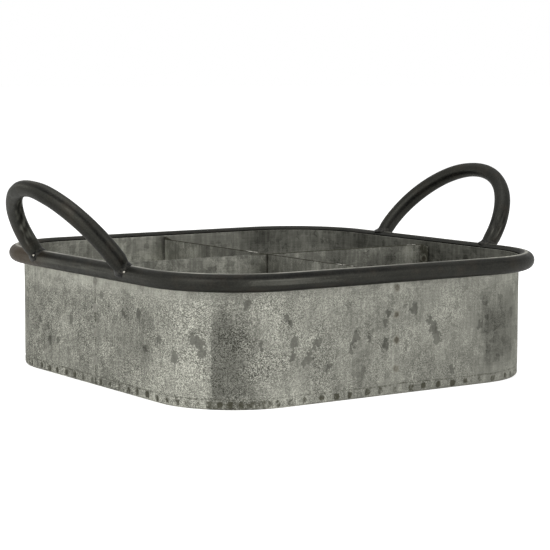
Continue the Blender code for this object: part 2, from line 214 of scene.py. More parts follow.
# Painted highlight along the rim: distance from the seam, and how pale its flank is there
RIM_FLANK = (
    (-130, 0.10), (-60, 0.24), (50, 0.20), (90, 0.06), (122, -0.06), (138, 0.28), (158, 0.34),
    (180, 0.20), (210, 0.09), (250, 0.02), (300, -0.04), (360, 0.0), (700, 0.10),
)

# Handles
HANDLE_RADIUS = 4.97 * MM     # at the crown, where bending pressed the tube a little flat
LEG_SPLAY = math.radians(16.0)
LEG_PULL = 24.8 * MM
LEG_POINTS = 64
TUBE_SIDES = 32
HANDLE_UNEVEN = 0.03 * MM
CREASE_HALF_ANGLE = 0.09
CREASE_DEPTH = 0.12 * MM
CREASE_WANDER = 0.12
CREASE_TONE = 0.26        # how much darker the painted shade in a crease is, and how much paler the painted highlight on its shoulders
SHOULDER_TONE = 0.12
PALE_STRETCH_FADE = 0.05
PALE_STRETCH_TONE = 0.10        # how much paler the pale stretch is, and how much its speckles stray
PALE_STRETCH_SPECKLE = 0.85
LEFT_HANDLE = SimpleNamespace(
    side=-1,
    half_span=53.2 * MM,
    reach=60.2 * MM,
    crown_pull=34.0 * MM,
    leans=(math.radians(36.8), math.radians(36.5)),     # at its feet and at its crown
    shift=4.9 * MM,
    # How full the tube is: share of its length from the front foot, and times HANDLE_RADIUS
    fullness=(
        (0.03, 1.0), (0.06, 1.15), (0.25, 1.15), (0.39, 1.12), (0.49, 1.0), (0.66, 1.02),
        (0.78, 1.07), (0.94, 1.10), (0.97, 1.0),
    ),
    # Creases: angle round the tube from the arch's outer face, and last share of its length
    creases=((math.radians(85), 1.1), (math.radians(-78), 0.55)),
    # How much paler or darker than the rim it is along its length: share of its length, and tone
    tone_shifts=((0.0, -0.05), (0.35, -0.04), (0.55, 0.07), (0.70, 0.12), (1.0, 0.08)),
    # The paler, speckled stretch on the inside of a leg: first and last share of its length
    pale_stretch=(0.62, 0.93),
    # Its front and its back weld bead: how far each spreads along the rim, away from the
    # arch, and the middle of the drop of spatter there, which carries a painted glint
    spreads=(2.0 * MM, 1.5 * MM),
    drops=(Vector((-140.3, -56.6, 75.4)) * MM, Vector((-141.4, 54.9, 76.0)) * MM),
)
RIGHT_HANDLE = SimpleNamespace(
    side=1,
    half_span=54.8 * MM,
    reach=64.9 * MM,
    crown_pull=38.8 * MM,
    leans=(math.radians(37.4), math.radians(40.2)),
    shift=-2.6 * MM,
    fullness=(
        (0.03, 1.0), (0.06, 1.09), (0.22, 1.09), (0.36, 0.98), (0.50, 0.97), (0.64, 1.04),
        (0.76, 1.07), (0.94, 1.05), (0.97, 1.0),
    ),
    creases=((math.radians(118), 1.1),),
    tone_shifts=((0.0, -0.14), (0.38, -0.12), (0.55, 0.0), (1.0, -0.03)),
    pale_stretch=(0.02, 0.16),
    spreads=(1.0 * MM, 2.7 * MM),
    drops=(None, None),
)

# Weld beads and spot welds
BEAD_INSIDE = 1.2 * MM    # how far a bead spreads towards the arch, and across the rim
BEAD_ACROSS = 0.8 * MM
BEAD_RISE = 3.6 * MM      # how high the puddle creeps up the leg
BEAD_STEP = 0.35 * MM
BEAD_LUMP = 0.25 * MM
BEAD_LUMP_SIZE = 1.8 * MM
BEAD_TUCK = 0.15 * MM     # how far its highest rings lie inside the leg
BEAD_HOLLOW = 2.2         # how hollow its flare is, where 1 is straight
DROP_RADIUS = 0.68 * MM
WELD_RADIUS = 1.7 * MM
WELD_HEIGHT_SHARES = (0.206, 0.432, 0.633, 0.843)
WELD_RING = 0.10 * MM
# A nugget's face from its middle outwards and into the sheet: share of WELD_RADIUS, height in
# WELD_RINGs, and how burnt
WELD_FACE = (
    (0.00, 0.05, 0.8), (0.50, 0.10, 1.0), (0.85, 1.0, 0.75), (1.10, 1.0, 0.45),
    (1.45, 0.35, 0.15), (1.75, -0.3, 0.1), (0.90, -4.0, 0.5),
)
# How sooty the nuggets of each side are, from the bottom up
NUGGET_SOOT = {
    "front": (0.7, 1.15, 0.95, 0.85), "right": (1.6,) * 4, "back": (0.8, 0.6, 0.9, 0.7),
    "left": (0.3,) * 4,
}

# Stage, in metres and watts: each lamp's name, place, diameter and power
FLOOR_HALF_SIDE = 20
LAMPS = (
    ("lamp_left", (-1.6, -0.6, 1.2), 1.2, 22),
    ("lamp_front", (0.5, -1.8, 1.0), 1.0, 12),
    ("lamp_top", (0.1, 0.2, 2.0), 1.4, 14),
)


def colour(text):
    """A colour written as sRGB hex, as linear red, green, blue and alpha."""
    channels = [int(text[first:first + 2], 16) / 255 for first in (1, 3, 5)]
    return [
        channel / 12.92 if channel <= 0.04045 else ((channel + 0.055) / 1.055) ** 2.4
        for channel in channels
    ] + [1.0]


def connect(tree, node, inputs):
    """Sets or links a node's inputs, given by name or number."""
    for name, value in inputs.items():
        socket = node.inputs[name]
        if isinstance(value, bpy.types.NodeSocket):
            tree.links.new(value, socket)
        else:
            socket.default_value = value


def add(tree, kind, inputs=None, output=0, **settings):
    """Adds a node with its properties and inputs, and gives back the output that is used."""
    node = tree.nodes.new("ShaderNode" + kind)
    for name, value in settings.items():
        setattr(node, name, value)
    connect(tree, node, inputs or {})
    return node.outputs[output]


def new_material(name):
    """A material with only its output and a Principled shader."""
    material = bpy.data.materials.new(name)
    material.use_nodes = True
    tree = material.node_tree
    return material, tree, tree.nodes["Principled BSDF"]


def own_place(tree):
    """The piece's own place, in mm."""
    place = add(tree, "TexCoord", output="Object")
    return add(tree, "VectorMath", {0: place, "Scale": 1 / MM}, operation="SCALE")


def stepped(tree, value, stops):
    """A number or colour read at a value from (value, number or hex) stops, straight in between."""
    low, high = stops[0][0], stops[-1][0]
    share = add(tree, "MapRange", {0: value, 1: low, 2: high})
    found = add(tree, "ValToRGB", {0: share})
    points = found.node.color_ramp.elements
    while len(points) < len(stops):
        points.new(0.5)
    for point, (place, level) in zip(points, stops):
        point.position = (place - low) / (high - low)
        point.color = colour(level) if isinstance(level, str) else (level, level, level, 1)
    return found


def mixed(tree, level, patterns):
    """A level with each pattern's share put on, counted from the middle of the pattern."""
    for pattern, share in patterns:
        centred = add(tree, "Math", {0: pattern, 1: 0.5}, operation="SUBTRACT")
        level = add(tree, "Math", {0: centred, 1: share, 2: level}, operation="MULTIPLY_ADD")
    return level


def marked(tree, grey, sandy, mark, change, calming):
    """Changes the grey where a mark is, and takes a share of the sandy sparkle away there."""
    grey = add(tree, "Math", {0: mark, 1: change, 2: grey}, operation="MULTIPLY_ADD")
    calm = add(tree, "Math", {0: mark, 1: -calming, 2: 1.0}, operation="MULTIPLY_ADD")
    sandy = add(tree, "Math", {0: sandy, 1: calm}, operation="MULTIPLY")
    return grey, sandy


def wall_grey(tree, in_mm, ragged, mottle, sandy):
    """The grey of the wall's zinc, from 0 dark to 1 light, and how sandy it is."""
    along, depth, height = (add(tree, "SeparateXYZ", {0: in_mm}, axis) for axis in range(3))
    # 1 on the wall's inside and 0 on its outside
    inner = add(tree, "MapRange", {0: depth, 1: 0.3, 2: 0.5})
    outer = add(tree, "Math", {0: 1.0, 1: inner}, operation="SUBTRACT")
    # Distance from the seam, negative past it towards +Y
    back = -ROUND_TRIP / MM
    past = add(tree, "Math", {0: along, 1: -PAST_SEAM * back}, operation="GREATER_THAN")
    from_seam = add(tree, "Math", {0: past, 1: back, 2: along}, operation="MULTIPLY_ADD")
    strength = stepped(tree, from_seam, MOTTLE_STOPS)
    strength = add(tree, "Math", {0: inner, 1: 0.2, 2: strength}, operation="MULTIPLY_ADD")
    grey = add(tree, "Math", {0: mottle, 1: strength, 2: 0.5}, operation="MULTIPLY_ADD")
    # The ragged place on the flat strip: the same distance, and the height
    flat_along = add(tree, "SeparateXYZ", {0: ragged})
    flat_along = add(tree, "Math", {0: past, 1: back, 2: flat_along}, operation="MULTIPLY_ADD")
    flat_up = add(tree, "SeparateXYZ", {0: ragged}, 2)
    flat = add(tree, "CombineXYZ", {0: flat_along, 2: flat_up})

    # Dark flakes: how far the nearest one's edge is away
    squat = add(tree, "VectorMath", {0: flat, 1: (1, 0, FLAKE_SQUAT)}, operation="MULTIPLY")
    nearest = STRAIGHT / MM
    for distance, up, radius in DARK_FLAKES:
        middle = (distance, 0, up * FLAKE_SQUAT)
        away = add(tree, "VectorMath", {0: squat, 1: middle}, "Value", operation="DISTANCE")
        edge = add(tree, "Math", {0: away, 1: radius}, operation="SUBTRACT")
        nearest = add(tree, "Math", {0: nearest, 1: edge}, operation="MINIMUM")
    # Crystals of 1.6 mm lie wholly inside or outside a flake, which makes it angular
    jag = add(tree, "TexVoronoi", {"Vector": in_mm, "Scale": 1 / 1.6}, "Color")
    jag = add(tree, "SeparateColor", {0: jag}, 2)
    nearest = add(tree, "Math", {0: jag, 1: 1.8, 2: nearest}, operation="MULTIPLY_ADD")
    flake = add(tree, "MapRange", {0: nearest, 1: 1.5, 2: 0.9, 4: outer})
    grey, sandy = marked(tree, grey, sandy, flake, -0.23, 0.75)

    # Clouds, and broad sheets with straighter borders
    squat = add(tree, "VectorMath", {0: flat, 1: (1, 0, CLOUD_SQUAT)}, operation="MULTIPLY")
    for distance, up, radius, change in CLOUDS:
        middle = (distance, 0, up * CLOUD_SQUAT)
        away = add(tree, "VectorMath", {0: squat, 1: middle}, "Value", operation="DISTANCE")
        veil = add(tree, "MapRange", {0: away, 1: 0.35 * radius, 2: radius, 3: change, 4: 0.0},
                   interpolation_type="SMOOTHSTEP")
        grey = add(tree, "Math", {0: grey, 1: veil}, operation="ADD")
    for start, start_soft, end, end_soft, low, high, change in BROAD_PATCHES:
        cover = change
        for place, first, last in (
            (flat_along, start - start_soft, start + start_soft),
            (flat_along, end + end_soft, end - end_soft),
            (flat_up, low - SHEET_BOTTOM_SOFT, low + SHEET_BOTTOM_SOFT),
            (flat_up, high + SHEET_TOP_SOFT, high - SHEET_TOP_SOFT),
        ):
            side = add(tree, "MapRange", {0: place, 1: first, 2: last})
            cover = add(tree, "Math", {0: side, 1: cover}, operation="MULTIPLY")
        grey = add(tree, "Math", {0: grey, 1: cover}, operation="ADD")
    sparkle = stepped(tree, from_seam, SPARKLE_STOPS)
    sandy = add(tree, "Math", {0: sandy, 1: sparkle}, operation="MULTIPLY")

    # The top of the wall is smoother and lighter
    smoother_top = add(tree, "MapRange", {0: height, 1: SMOOTHER_TOP_BETWEEN[0], 2: SMOOTHER_TOP_BETWEEN[1]})
    grey, sandy = marked(tree, grey, sandy, smoother_top, 0.11, 0.6)
    # A smooth band under the rim on the outside, lightened with painted light against the rim's
    # shadow
    band = add(tree, "MapRange", {0: height, 1: BAND_BETWEEN[0], 2: BAND_BETWEEN[1], 4: outer},
               interpolation_type="SMOOTHSTEP")
    pale = stepped(tree, from_seam, PALE_BAND_STOPS)
    pale = add(tree, "Math", {0: band, 1: pale}, operation="MULTIPLY")
    grey, sandy = marked(tree, grey, sandy, pale, 1.0, 3.0)
    # Painted shade makes the inside darkest under the rim and on the right side; painted light lifts
    # the back
    darkens = {1: DARKENS_BETWEEN[0], 2: DARKENS_BETWEEN[1], 3: INSIDE_DARKEST, 4: INSIDE_UNDER_RIM}
    rising = add(tree, "MapRange", {0: height} | darkens, interpolation_type="SMOOTHSTEP")
    inside_light_and_shade = stepped(tree, along, INSIDE_STOPS)
    inside_light_and_shade = add(tree, "Math", {0: inside_light_and_shade, 1: rising}, operation="ADD")
    grey = add(tree, "Math", {0: inside_light_and_shade, 1: inner, 2: grey}, operation="MULTIPLY_ADD")
    return grey, sandy


def divider_dirt_and_shade(tree, in_mm):
    """How dark a divider is made: dirt on its top edge, and painted shade where the two cross and
    next to the wall.
    """
    along, depth, height = (add(tree, "SeparateXYZ", {0: in_mm}, axis) for axis in range(3))
    top = DIVIDER_TOP / MM
    dirt_and_shade = add(tree, "MapRange", {0: height, 1: top - 0.7, 2: top - 0.3})
    # The left half of the crosswise divider has the cleanest edge
    clean = add(tree, "MapRange", {0: along, 1: -14.0, 2: -8.0, 3: 0.3, 4: 1.0})
    dirt_and_shade = add(tree, "Math", {0: dirt_and_shade, 1: clean}, operation="MULTIPLY")
    # Painted shade where the two dividers cross and where they meet the wall
    level = add(tree, "VectorMath", {0: in_mm, 1: (1, 1, 0)}, operation="MULTIPLY")
    centre = add(tree, "VectorMath", {0: level}, "Value", operation="LENGTH")
    crossing = add(tree, "MapRange", {0: centre, 1: 0.7, 2: 1.6, 3: 0.85, 4: 0.0})
    along, depth = (add(tree, "Math", {0: place}, operation="ABSOLUTE") for place in (along, depth))
    wall = add(tree, "Math", {0: along, 1: depth}, operation="MAXIMUM")
    wall = add(tree, "MapRange", {0: wall, 1: 126.4, 2: 127.8, 3: 0.0, 4: 0.75})
    for spot in (crossing, wall):
        dirt_and_shade = add(tree, "Math", {0: dirt_and_shade, 1: spot}, operation="MAXIMUM")
    return dirt_and_shade


def divider_painted_glints(tree, in_mm, uneven):
    """Where painted glints brighten short stretches of the dividers' cut top edges."""
    height = add(tree, "SeparateXYZ", {0: in_mm}, 2)
    top = DIVIDER_TOP / MM
    crest = add(tree, "MapRange", {0: height, 1: top - 0.25, 2: top - 0.1})
    level = add(tree, "VectorMath", {0: in_mm, 1: (1, 1, 0)}, operation="MULTIPLY")
    glint = 0.0
    for x, y, half in TOP_PAINTED_GLINTS:
        away = add(tree, "VectorMath", {0: level, 1: (x, y, 0)}, "Value", operation="DISTANCE")
        near = add(tree, "MapRange", {0: away, 1: half + 0.6, 2: half - 0.6})
        glint = add(tree, "Math", {0: near, 1: glint}, operation="MAXIMUM")
    broken = add(tree, "MapRange", {0: uneven, 1: 0.44, 2: 0.50})
    for share in (crest, broken):
        glint = add(tree, "Math", {0: glint, 1: share}, operation="MULTIPLY")
    return glint


def galvanised_sheet(name, on_wall):
    """Weathered hot-dip galvanised steel: zinc that froze in crystals and dulled outdoors.

    The eye sees soft grey clouds, a sandy sparkle, upright drip streaks, patches of
    slightly different grey and small dark flakes, with olive dirt in the crimps. Light
    and shade are painted in as well: painted shade inside the wall and where the dividers
    meet, painted light under the rim, and painted glints on the dividers' top edges. On the
    wall the pattern follows the sheet attribute, which unrolls the strip as (distance
    from the seam, depth, height) in millimetres. The other sheets read their own place.
    """
    material, tree, shader = new_material(name)
    if on_wall:
        in_mm = add(tree, "Attribute", output="Vector", attribute_name="sheet")
    else:
        in_mm = own_place(tree)

    # Ragged places: the same place pushed about by 3 mm, for borders that follow crystals
    push = add(tree, "TexNoise", {"Vector": in_mm, "Scale": 1 / 4, "Detail": 3.0}, "Color")
    push = add(tree, "VectorMath", {0: push, 1: (0.5, 0.5, 0.5)}, operation="SUBTRACT")
    push = add(tree, "VectorMath", {0: push, "Scale": 6.0}, operation="SCALE")
    ragged = add(tree, "VectorMath", {0: in_mm, 1: push}, operation="ADD")

    # Clouds of dulled zinc, 40 mm across
    cloud = add(tree, "TexNoise", {"Vector": in_mm, "Scale": 1 / 40, "Detail": 5.0})
    # Drip streaks from the bath, 2 mm wide and drawn out upright
    upright = add(tree, "VectorMath", {0: in_mm, 1: (1, 1, 0.10)}, operation="MULTIPLY")
    streak = add(tree, "TexNoise", {"Vector": upright, "Scale": 1 / 2, "Detail": 3.0})
    # Roller scratches along the strip, 1 mm wide
    level = add(tree, "VectorMath", {0: in_mm, 1: (0.06, 1, 1)}, operation="MULTIPLY")
    scratch = add(tree, "TexNoise", {"Vector": level, "Scale": 1 / 1.0, "Detail": 2.0})
    # Crystal patches, 9 mm across, and small crystals in between, 4 mm across
    patch = add(tree, "TexVoronoi", {"Vector": ragged, "Scale": 1 / 9}, "Color")
    patch = add(tree, "SeparateColor", {0: patch})
    small = add(tree, "TexVoronoi", {"Vector": ragged, "Scale": 1 / 4}, "Color")
    small = add(tree, "SeparateColor", {0: small}, 1)
    # Sandy sparkle of crystal faces, drawn 0.45 mm coarse so that it shows in the render
    sand = add(tree, "TexVoronoi", {"Vector": in_mm, "Scale": 1 / 0.45}, "Color")
    sand = add(tree, "SeparateColor", {0: sand})
    sandy = add(tree, "TexNoise", {"Vector": in_mm, "Scale": 1 / 22, "Detail": 2.0})
    sandy = add(tree, "MapRange", {0: sandy, 1: 0.36, 2: 0.60, 3: 0.45, 4: 0.90})

    # The mottling of a spot is the sum of these, and a few small crystals are darker still
    mottle = add(tree, "MapRange", {0: small, 1: 0.86, 2: 0.92, 3: 0.0, 4: -0.13})
    shares = WALL_SHARES if on_wall else INSIDE_SHARES
    mottle = mixed(tree, mottle, zip((cloud, streak, scratch, patch, small), shares))
    if on_wall:
        grey, sandy = wall_grey(tree, in_mm, ragged, mottle, sandy)
        dirt_and_shade = add(tree, "Attribute", output="Fac", attribute_name="grime")
    else:
        grey = add(tree, "Math", {0: mottle, 1: 0.52}, operation="ADD")
        sandy = add(tree, "Math", {0: sandy, 1: DIVIDER_SPARKLE}, operation="MULTIPLY")
        dirt_and_shade = divider_dirt_and_shade(tree, in_mm)
    grey = mixed(tree, grey, [(sand, sandy)])
    zinc = stepped(tree, grey, ((0, "#30302b"), (0.5, "#7b7b73"), (1, "#c8c8bc")))

    # Olive dirt, and the dividers' painted shade, with an uneven border
    uneven = add(tree, "TexNoise", {"Vector": in_mm, "Scale": 1 / 2, "Detail": 2.0})
    dirt_and_shade = mixed(tree, dirt_and_shade, [(uneven, 1.1)])
    dirt_and_shade = add(tree, "MapRange", {0: dirt_and_shade, 1: 0.25, 2: 0.80, 3: 0.0, 4: 0.85},
               interpolation_type="SMOOTHSTEP")
    dirt_shade_and_glints = add(tree, "Mix", {0: dirt_and_shade, 6: zinc, 7: colour("#38372c")}, 2, data_type="RGBA")
    if not on_wall:
        # Painted glints on short stretches of the dividers' top edges
        glint = divider_painted_glints(tree, in_mm, uneven)
        dirt_shade_and_glints = add(tree, "Mix", {0: glint, 6: dirt_shade_and_glints, 7: colour("#e4e2d8")}, 2, data_type="RGBA")
    rough = add(tree, "MapRange", {0: sand, 3: 0.48, 4: 0.62})
    relief = add(tree, "Math", {0: patch, 1: 0.3, 2: sand}, operation="MULTIPLY_ADD")
    bump = add(tree, "Bump", {"Strength": 0.35, "Distance": 0.08 * MM, "Height": relief})
    connect(tree, shader, {
        "Base Color": dirt_shade_and_glints, "Roughness": rough, "Normal": bump, "Metallic": 0.75,
        "Specular Tint": (0.35, 0.35, 0.33, 1),
    })
    return material


def blackened_steel(name):
    """Blackened steel tube: drawn smooth, oiled black, and worn by hands.

    The eye sees a soft black-grey with fine streaks along the tube, a dusty grain, a
    breath of brown rust and a thin painted highlight along the top of the rim. The
    tube attribute runs along and round the tube in millimetres. The attribute of light
    and tone lightens or darkens, with painted highlights and painted shade as well as
    tone; rust adds brown; and the highlight attribute marks the painted highlight line.
    """
    material, tree, shader = new_material(name)
    in_mm = add(tree, "Attribute", output="Vector", attribute_name="tube")
    painted_light_and_tone, rusty, painted_highlight = (
        add(tree, "Attribute", output="Fac", attribute_name=said) for said in ("painted_light_and_tone", "rust", "painted_highlight")
    )
    # Drawing streaks, 1.3 mm wide and 26 mm long
    drawn = add(tree, "VectorMath", {0: in_mm, 1: (0.05, 1, 1)}, operation="MULTIPLY")
    streak = add(tree, "TexNoise", {"Vector": drawn, "Scale": 1 / 1.3, "Detail": 3.0})
    # Scuffs, 4 mm across
    scuff = add(tree, "TexNoise",
                {"Vector": in_mm, "Scale": 1 / 4, "Detail": 4.0, "Roughness": 0.65})
    # Broad change along the tube, and a dusty grain, drawn 0.6 mm coarse to show in the render
    broad = add(tree, "TexNoise", {"Vector": in_mm, "Scale": 1 / 30, "Detail": 2.0})
    grain = add(tree, "TexVoronoi", {"Vector": in_mm, "Scale": 1 / 0.6}, "Color")
    grain = add(tree, "SeparateColor", {0: grain})
    grey = add(tree, "Math", {0: painted_light_and_tone, 1: 0.36}, operation="ADD")
    # The grain hardly shows where the tone is pale
    fine = add(tree, "MapRange", {0: painted_light_and_tone, 1: 0.0, 2: 0.3, 3: 0.16, 4: 0.04})
    grey = mixed(tree, grey, ((streak, 0.32), (scuff, 0.16), (broad, 0.26), (grain, fine)))
    black = stepped(tree, grey, ((0, "#0c0c0b"), (0.5, "#30302c"), (1, "#6e6e66")))
    # Thin rust, everywhere a little and strong where the rust attribute says
    rust = add(tree, "TexNoise", {"Vector": in_mm, "Scale": 1 / 9, "Detail": 4.0}, "Color")
    rust = add(tree, "SeparateColor", {0: rust}, 2)
    rust = add(tree, "MapRange", {0: rust, 1: 0.50, 2: 0.75, 3: 0.0, 4: 0.14})
    rust = add(tree, "Math", {0: rusty, 1: rust}, operation="ADD")
    aged = add(tree, "Mix", {0: rust, 6: black, 7: colour("#4a3f33")}, 2, data_type="RGBA")
    # The painted highlight line along the rim's top, broken up by the scuffs
    patchy = add(tree, "MapRange", {0: scuff, 1: 0.30, 2: 0.55, 3: 0.45, 4: 1.0})
    painted_highlight = add(tree, "Math", {0: painted_highlight, 1: patchy}, operation="MULTIPLY")
    highlighted = add(tree, "Mix", {0: painted_highlight, 6: aged, 7: colour("#a9a89e")}, 2, data_type="RGBA")
    rough = add(tree, "MapRange", {0: scuff, 1: 0.3, 2: 0.7, 3: 0.42, 4: 0.58})
    relief = add(tree, "Math", {0: grain, 1: 0.5, 2: scuff}, operation="MULTIPLY_ADD")
    bump = add(tree, "Bump", {"Strength": 0.3, "Distance": 0.1 * MM, "Height": relief})
    connect(tree, shader, {
        "Base Color": highlighted, "Roughness": rough, "Normal": bump, "Metallic": 0.5,
        "Specular IOR Level": 0.2, "Specular Tint": (0.5, 0.5, 0.48, 1),
    })
    return material


def arc_weld_metal(name):
    """Arc weld metal: steel that froze in a puddle under black soot.

    The eye sees matt black lumps, and a painted white glint on the one drop of spatter,
    which the highlight attribute marks.
    """
    material, tree, shader = new_material(name)
    in_mm = own_place(tree)
    soot = add(tree, "TexNoise", {"Vector": in_mm, "Scale": 1 / 1.8, "Detail": 3.0})
    soot = add(tree, "MapRange", {0: soot, 1: 0.35, 2: 0.70})
    black = stepped(tree, soot, ((0, "#0a0a09"), (1, "#33322d")))
    painted_highlight = add(tree, "Attribute", output="Fac", attribute_name="painted_highlight")
    # The drop of spatter gets a painted white glint
    clean = add(tree, "Mix", {0: painted_highlight, 6: black, 7: colour("#b2aea4")}, 2, data_type="RGBA")
    bump = add(tree, "Bump", {"Strength": 0.3, "Distance": 0.15 * MM, "Height": soot})
    connect(tree, shader, {
        "Base Color": clean, "Normal": bump, "Metallic": 0.5, "Roughness": 0.55,
        "Specular IOR Level": 0.2,
    })
    return material


def burnt_zinc(name):
    """Zinc round a resistance weld: boiled off in the middle, with a pale squeezed ring.

    The burn attribute runs from 0 in clean zinc to 1 in the sooty middle.
    """
    material, tree, shader = new_material(name)
    in_mm = own_place(tree)
    mottle = add(tree, "TexNoise", {"Vector": in_mm, "Scale": 1 / 1.2, "Detail": 2.0})
    burn = add(tree, "Attribute", output="Fac", attribute_name="burn")
    burn = mixed(tree, burn, [(mottle, 1.5)])
    ring = stepped(tree, burn, ((0, "#7e7e75"), (0.5, "#6c6a60"), (1, "#4a473e")))
    connect(tree, shader, {"Base Color": ring, "Metallic": 0.75, "Roughness": 0.5})
    return material


def wall_place(distance):
    """Matrix on the band's outer face, its +X axis inwards, counted from the seam to -Y."""
    along = distance + STRAIGHT / 2 - SEAM_Y
    side, along = divmod(along, STRAIGHT + QUARTER)
    turn = Matrix.Rotation(side * math.pi / 2, 4, "Z")
    if along <= STRAIGHT:
        return turn @ Matrix.Translation((-HALF_SIDE, STRAIGHT / 2 - along, 0))
    pivot = Matrix.Translation((-STRAIGHT / 2, -STRAIGHT / 2, 0))
    bend = Matrix.Rotation((along - STRAIGHT) / BAND_CORNER, 4, "Z")
    return turn @ pivot @ bend @ Matrix.Translation((-BAND_CORNER, 0, 0))


def roll_up(bm):
    """Bends a flat strip, with x along, y inwards and z up, round the tray."""
    places = {}
    for vert in bm.verts:
        key = round(vert.co.x * 1e7)
        if key not in places:
            places[key] = wall_place(vert.co.x)
        vert.co = places[key] @ Vector((vert.co.y, 0, vert.co.z))


def waver(*place):
    """Smooth noise between -1 and 1, at a place given as three numbers."""
    return noise.noise(Vector(place))


def arc(radius, first, last, steps):
    """Points (across, up) round an arc from the first angle to the last."""
    angles = [first + (last - first) * step / steps for step in range(steps + 1)]
    return [(radius * math.cos(angle), radius * math.sin(angle)) for angle in angles]


def shifted(points, left, up):
    """The points, moved."""
    return [(left + point[0], up + point[1]) for point in points]


def rows(first, last, step):
    """Heights from first to last, both included, about a step apart."""
    count = max(1, round(abs(last - first) / step))
    return [first + (last - first) * number / count for number in range(count + 1)]


def drawn_strip(section, length, step):
    """A closed section of (inwards, up) points drawn along x for a length.

    A flat grid is laid out, one row for each point, and its rows are folded round the
    section until the last meets the first.
    """
    bm = bmesh.new()
    sides = len(section)
    bmesh.ops.create_grid(bm, x_segments=round(length / step), y_segments=sides, size=1)
    for vert in bm.verts:
        inwards, up = section[round((vert.co.y + 1) / 2 * sides) % sides]
        vert.co = ((vert.co.x + 1) / 2 * length, inwards, up)
    bmesh.ops.remove_doubles(bm, verts=bm.verts, dist=0.001 * MM)
    return bm


def add_piece(name, bm, material, node):
    """Stores a mesh, its faces outwards, as a piece that rides along in place of its solid."""
    bmesh.ops.recalc_face_normals(bm, faces=bm.faces)
    mesh = bpy.data.meshes.new(name)
    bm.to_mesh(mesh)
    bm.free()
    mesh.materials.append(material)
    mesh.shade_smooth()
    mesh.set_sharp_from_angle(angle=math.radians(40))
    piece = bpy.data.objects.new(name, mesh)
    bpy.context.scene.collection.objects.link(piece)
    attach(piece, "root")
    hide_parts(node)


def skin(bm, rings):
    """Joins rings of vertices to one tube with closed ends."""
    loops = [list({edge for vert in ring for edge in vert.link_edges}) for ring in rings]
    for loop, following in zip(loops, loops[1:]):
        bmesh.ops.bridge_loops(bm, edges=loop + following)
    for loop in (loops[0], loops[-1]):
        bmesh.ops.holes_fill(bm, edges=loop, sides=0)


def plateau(offset, half, soft):
    """1 inside half, easing to 0 over the soft share outside it."""
    t = (abs(offset) / half - 1) / soft + 0.5
    t = min(max(t, 0), 1)
    return 1 - t * t * (3 - 2 * t)


def crimp(centre, number, kind):
    """One dent: distance round the band, size, height over CRIMP_MIDDLE, and fill of dirt."""
    size_stray, size_turn, lift, fill, fill_stray = kind
    size = 1 + size_stray * math.sin(number * size_turn)
    lift *= math.sin(number * CRIMP_LIFT_TURN)
    return centre, size, lift, fill + fill_stray * math.sin(number * CRIMP_FILL_TURN)


def all_crimps():
    """Every dent, in order round the band."""
    found = []
    corner_start = STRAIGHT / 2 + SEAM_Y
    in_corner = []
    for number in range(CORNER_CRIMP_COUNT):
        lost = CORNER_CRIMP_LOSS * number * (number - 1) / 2
        in_corner.append(CORNER_CRIMP_FIRST + CORNER_CRIMP_PITCH * number - lost)
    for number in range(CRIMP_COUNT):
        drift = CRIMP_DRIFT * sum(math.sin(number * turn) for turn in CRIMP_DRIFT_TURNS) / 2
        centre = (number + 1 / 2) * ROUND_TRIP / CRIMP_COUNT + drift
        past_corner = (centre - corner_start) % (STRAIGHT + QUARTER)
        nearest = min(max(past_corner, in_corner[0]), in_corner[-1])
        if abs(past_corner - nearest) >= CORNER_CRIMP_FREE:
            found.append(crimp(centre, number, PLAIN_CRIMP))
    for corner in range(4):
        for number, place in enumerate(in_corner):
            centre = corner_start + corner * (STRAIGHT + QUARTER) + place
            found.append(crimp(centre, number, CORNER_CRIMP))
    return sorted(found)


def sheet_wave(along, up):
    """How far the thin sheet stands in or out, as a share of OIL_CAN; none at its edges."""
    ease = max(min(up / (20 * MM), (WALL_TOP - up) / (20 * MM), 1), 0)
    return waver(along / OIL_CAN_LENGTH, up / (40 * MM), 7.7) * ease


